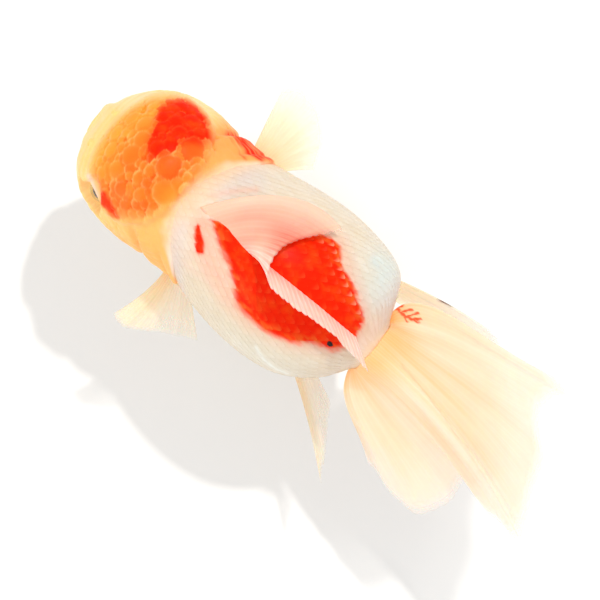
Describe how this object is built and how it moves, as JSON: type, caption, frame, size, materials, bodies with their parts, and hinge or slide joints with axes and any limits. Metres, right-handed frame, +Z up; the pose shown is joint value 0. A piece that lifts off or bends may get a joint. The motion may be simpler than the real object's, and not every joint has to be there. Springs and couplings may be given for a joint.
{
  "type": "goldfish",
  "caption": "Life-size oranda goldfish with a bumpy hood, round white and red body and flowing double tail, held over a low oval base by short rods.",
  "frame": {"origin": "centre of the flat underside of the display base", "axes": "+X from snout to tail, +Y to the fish's right side, +Z up out of the back"},
  "size_m": [0.1673, 0.0859, 0.1286],
  "materials": {
    "hood": "moist satin skin of rounded bumps, orange with red patches",
    "face": "moist satin skin, pale yellow-orange",
    "gill_cover": "moist satin skin, orange with a red edge on the right",
    "eye": "glossy, silver iris round a black pupil",
    "body": "pearly white scales with vivid red-orange patches on the back",
    "fin": "thin translucent cream membrane over fine rays",
    "stand": "satin off-white paint"
  },
  "bodies": {
    "root": {"hood": "hood", "snout": "face", "lower_jaw": "face", "cheek_left": "face", "cheek_right": "face", "throat": "face", "gill_cover_left": "gill_cover", "gill_cover_right": "gill_cover", "eye_left": "eye", "eye_right": "eye", "trunk": "body", "tail_stalk": "body", "dorsal_fin": "fin", "pectoral_fin_right": "fin", "pectoral_fin_left": "fin", "pelvic_fin_right": "fin", "pelvic_fin_left": "fin", "anal_fin_right": "fin", "anal_fin_left": "fin", "tail_upper_right": "fin", "tail_lower_right": "fin", "tail_upper_left": "fin", "tail_lower_left": "fin", "stand_base": "stand", "stand_rod_front": "stand", "stand_rod_rear": "stand"}
  },
  "joints": []
}
